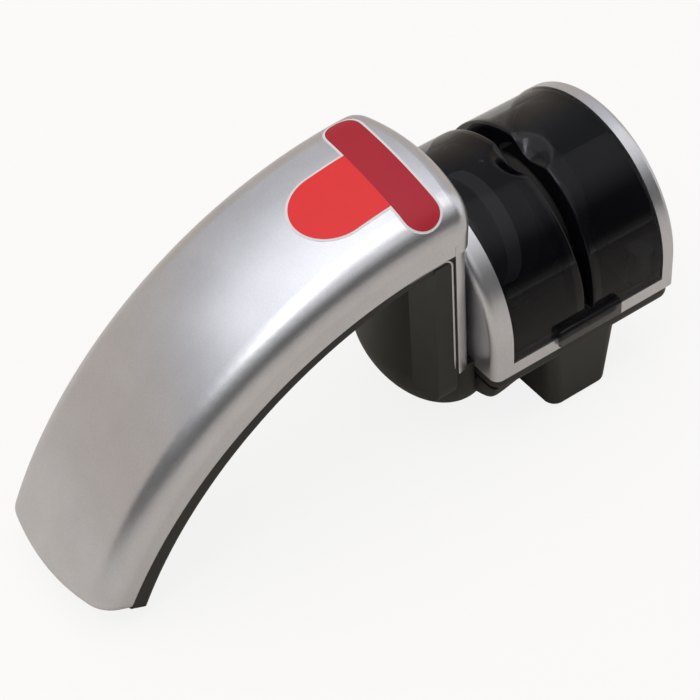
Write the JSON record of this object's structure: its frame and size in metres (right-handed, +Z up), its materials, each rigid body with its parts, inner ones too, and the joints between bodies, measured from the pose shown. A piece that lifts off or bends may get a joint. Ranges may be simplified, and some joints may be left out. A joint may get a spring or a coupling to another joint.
{
  "type": "pull-through knife sharpener",
  "caption": "Pull-through knife sharpener: an arched handle with a column and foot, joined to a drum-shaped head whose hinged smoked cover has a blade slot over bevelled grinding wheels.",
  "frame": {"origin": "centre of the bounding box on the table plane", "axes": "+X from the handle's tip to the head, +Z up, the cover's finger tab faces -Y"},
  "size_m": [0.148, 0.0586, 0.0694],
  "materials": {
    "silver_shell": "satin metallic silver paint",
    "black_body": "satin black",
    "smoked_cover": "glossy smoked clear",
    "rubber_pad": "matte",
    "grey_frame": "matte",
    "light_core": "satin",
    "abrasive": "gritty",
    "bearing_bronze": "plain",
    "steel": "plain"
  },
  "bodies": {
    "body": {"handle_cover": "silver_shell", "handle_grip": "black_body", "handle_screws": "steel", "head_housing": "silver_shell", "base_tray": "black_body", "base_screws": "steel", "neck_screws": "steel", "foot_pads": "rubber_pad", "hinge_pin": "steel", "wheel_cradle": "grey_frame", "cradle_screws": "steel", "left_bush": "bearing_bronze", "right_bush": "bearing_bronze"},
    "cover": {"dust_cover": "smoked_cover"},
    "roller": {"axle": "steel", "left_wheel_core": "light_core", "right_wheel_core": "light_core", "left_abrasive_ring": "abrasive", "right_abrasive_ring": "abrasive", "centre_spacer": "light_core", "thrust_washers": "bearing_bronze", "retaining_clips": "steel"}
  },
  "joints": [
    {"name": "cover_hinge", "type": "hinge", "parent": "body", "child": "cover", "pos_m": [0.04965, 0.0271, 0.0266], "axis": [-1, 0, 0], "range_deg": [0, 100]},
    {"name": "roller_spin", "type": "hinge", "parent": "body", "child": "roller", "pos_m": [0.04965, 0, 0.0362], "axis": [1, 0, 0], "continuous": true}
  ]
}
